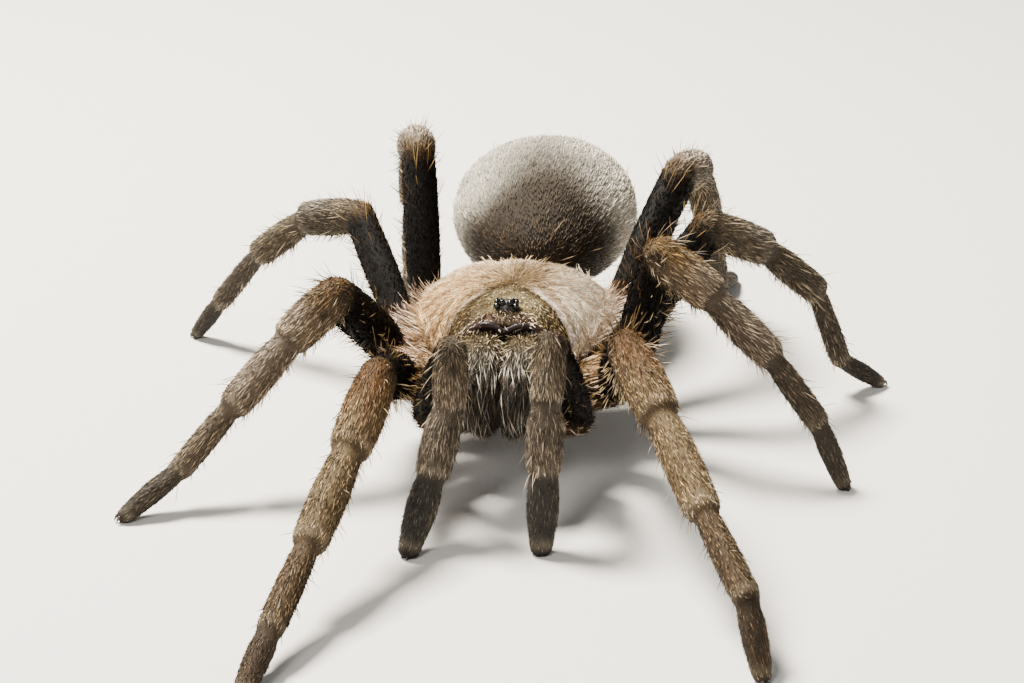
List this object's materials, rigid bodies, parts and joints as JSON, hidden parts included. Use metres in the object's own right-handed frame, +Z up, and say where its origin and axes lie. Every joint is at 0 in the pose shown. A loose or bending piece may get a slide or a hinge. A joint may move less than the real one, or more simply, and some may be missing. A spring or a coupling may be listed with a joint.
{
  "type": "tarantula model",
  "caption": "Life-size still model of a large hairy tarantula standing on a flat surface with its legs spread and both feelers set down in front.",
  "frame": {"origin": "on the floor, under the middle of the space that the model takes up", "axes": "+Z up; the spider faces -Y, so its left side is +X"},
  "size_m": [0.0782, 0.0998, 0.0295],
  "materials": {
    "carapace": "short golden and cream felt over a dull brown shield",
    "eye": "glossy black",
    "sternum": "dark brown felt",
    "chelicera": "grey-brown hair over a dark shell",
    "fang": "glossy black-brown horn",
    "abdomen": "silver-grey velvet",
    "spinnerets": "brown felt",
    "femur": "near-black felt with a pale fringe",
    "limb": "tan-brown hair with cream tips"
  },
  "bodies": {
    "root": {"carapace": "carapace", "eye_turret": "eye", "sternum": "sternum", "chelicera_left": "chelicera", "chelicera_right": "chelicera", "fang_left": "fang", "fang_right": "fang", "abdomen": "abdomen", "spinnerets": "spinnerets", "leg_left_1_coxa": "sternum", "leg_left_1_femur": "femur", "leg_left_1_patella": "limb", "leg_left_1_tibia": "limb", "leg_left_1_foot": "limb", "leg_left_2_coxa": "sternum", "leg_left_2_femur": "femur", "leg_left_2_patella": "limb", "leg_left_2_tibia": "limb", "leg_left_2_foot": "limb", "leg_left_3_coxa": "sternum", "leg_left_3_femur": "femur", "leg_left_3_patella": "limb", "leg_left_3_tibia": "limb", "leg_left_3_foot": "limb", "leg_left_4_coxa": "sternum", "leg_left_4_femur": "femur", "leg_left_4_patella": "limb", "leg_left_4_tibia": "limb", "leg_left_4_foot": "limb", "leg_right_1_coxa": "sternum", "leg_right_1_femur": "femur", "leg_right_1_patella": "limb", "leg_right_1_tibia": "limb", "leg_right_1_foot": "limb", "leg_right_2_coxa": "sternum", "leg_right_2_femur": "femur", "leg_right_2_patella": "limb", "leg_right_2_tibia": "limb", "leg_right_2_foot": "limb", "leg_right_3_coxa": "sternum", "leg_right_3_femur": "femur", "leg_right_3_patella": "limb", "leg_right_3_tibia": "limb", "leg_right_3_foot": "limb", "leg_right_4_coxa": "sternum", "leg_right_4_femur": "femur", "leg_right_4_patella": "limb", "leg_right_4_tibia": "limb", "leg_right_4_foot": "limb", "palp_left_coxa": "sternum", "palp_left_femur": "femur", "palp_left_patella": "limb", "palp_left_tibia": "limb", "palp_left_tarsus": "limb", "palp_right_coxa": "sternum", "palp_right_femur": "femur", "palp_right_patella": "limb", "palp_right_tibia": "limb", "palp_right_tarsus": "limb"}
  },
  "joints": []
}
